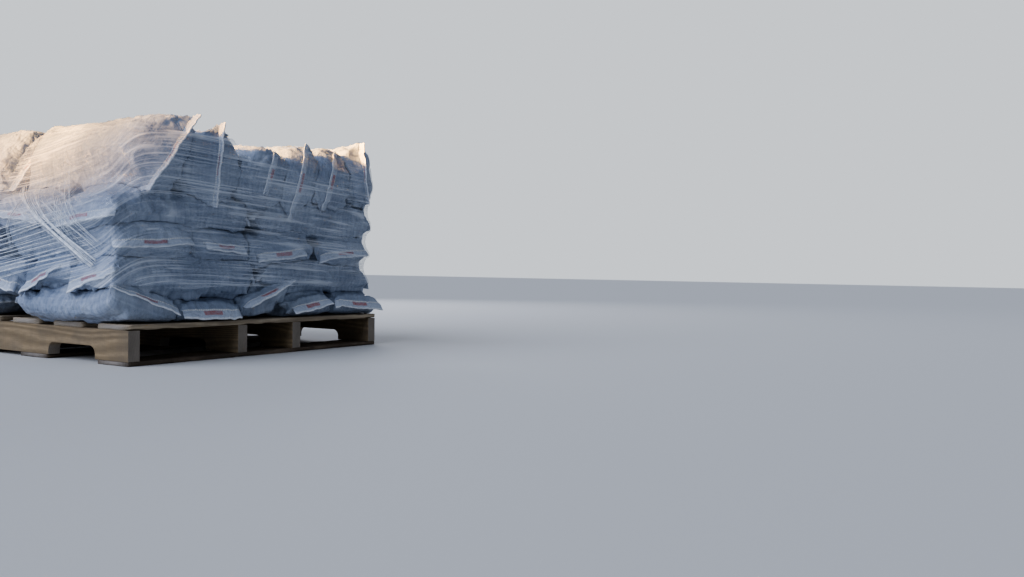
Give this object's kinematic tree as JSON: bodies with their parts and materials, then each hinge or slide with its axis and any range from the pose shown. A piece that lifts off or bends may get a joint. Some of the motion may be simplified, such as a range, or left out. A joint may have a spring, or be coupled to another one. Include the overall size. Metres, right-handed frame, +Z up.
{
  "type": "pallet of sacks",
  "caption": "Wooden four-way notched-stringer pallet loaded with filled woven plastic sacks in crossed layers, the top ones on edge, bound with clear stretch wrap.",
  "frame": {"origin": "middle of the footprint, on the floor under the pallet", "axes": "+Z up, Y along the pallet's stringers, X across them; the notched outer stringer and the stringer ends seen in the picture face -X and -Y"},
  "size_m": [1.2138, 1.271, 0.7641],
  "materials": {
    "stringer_wood": "sawn softwood, weathered",
    "board_wood": "sawn softwood, weathered and dirty",
    "woven_sack": "woven polypropylene, satin",
    "stretch_film": "clear stretch film"
  },
  "bodies": {
    "root": {"bottom_board_1": "board_wood", "bottom_board_2": "board_wood", "bottom_board_3": "board_wood", "bottom_board_4": "board_wood", "deck_board_1": "board_wood", "deck_board_2": "board_wood", "deck_board_3": "board_wood", "deck_board_4": "board_wood", "deck_board_5": "board_wood", "deck_board_6": "board_wood", "sack_1_back_1": "woven_sack", "sack_1_back_2": "woven_sack", "sack_1_back_3": "woven_sack", "sack_1_back_4": "woven_sack", "sack_1_front_1": "woven_sack", "sack_1_front_2": "woven_sack", "sack_1_front_3": "woven_sack", "sack_1_front_4": "woven_sack", "sack_1_front_5": "woven_sack", "sack_2_left_1": "woven_sack", "sack_2_left_2": "woven_sack", "sack_2_left_3": "woven_sack", "sack_2_left_4": "woven_sack", "sack_2_left_5": "woven_sack", "sack_2_right_1": "woven_sack", "sack_2_right_2": "woven_sack", "sack_2_right_3": "woven_sack", "sack_2_right_4": "woven_sack", "sack_2_right_5": "woven_sack", "sack_3_back_1": "woven_sack", "sack_3_back_2": "woven_sack", "sack_3_back_3": "woven_sack", "sack_3_back_4": "woven_sack", "sack_3_front_1": "woven_sack", "sack_3_front_2": "woven_sack", "sack_3_front_3": "woven_sack", "sack_3_front_4": "woven_sack", "sack_4_left_1": "woven_sack", "sack_4_left_2": "woven_sack", "sack_4_left_3": "woven_sack", "sack_4_left_4": "woven_sack", "sack_4_right_1": "woven_sack", "sack_4_right_2": "woven_sack", "sack_4_right_3": "woven_sack", "sack_4_right_4": "woven_sack", "sack_5_back_1": "woven_sack", "sack_5_back_2": "woven_sack", "sack_5_back_3": "woven_sack", "sack_5_back_4": "woven_sack", "sack_5_front_1": "woven_sack", "sack_5_front_2": "woven_sack", "sack_5_front_3": "woven_sack", "sack_5_front_4": "woven_sack", "sack_5_front_5": "woven_sack", "sack_5_front_6": "woven_sack", "stretch_wrap": "stretch_film", "stringer_1": "stringer_wood", "stringer_2": "stringer_wood", "stringer_3": "stringer_wood", "stringer_4": "stringer_wood"}
  },
  "joints": []
}
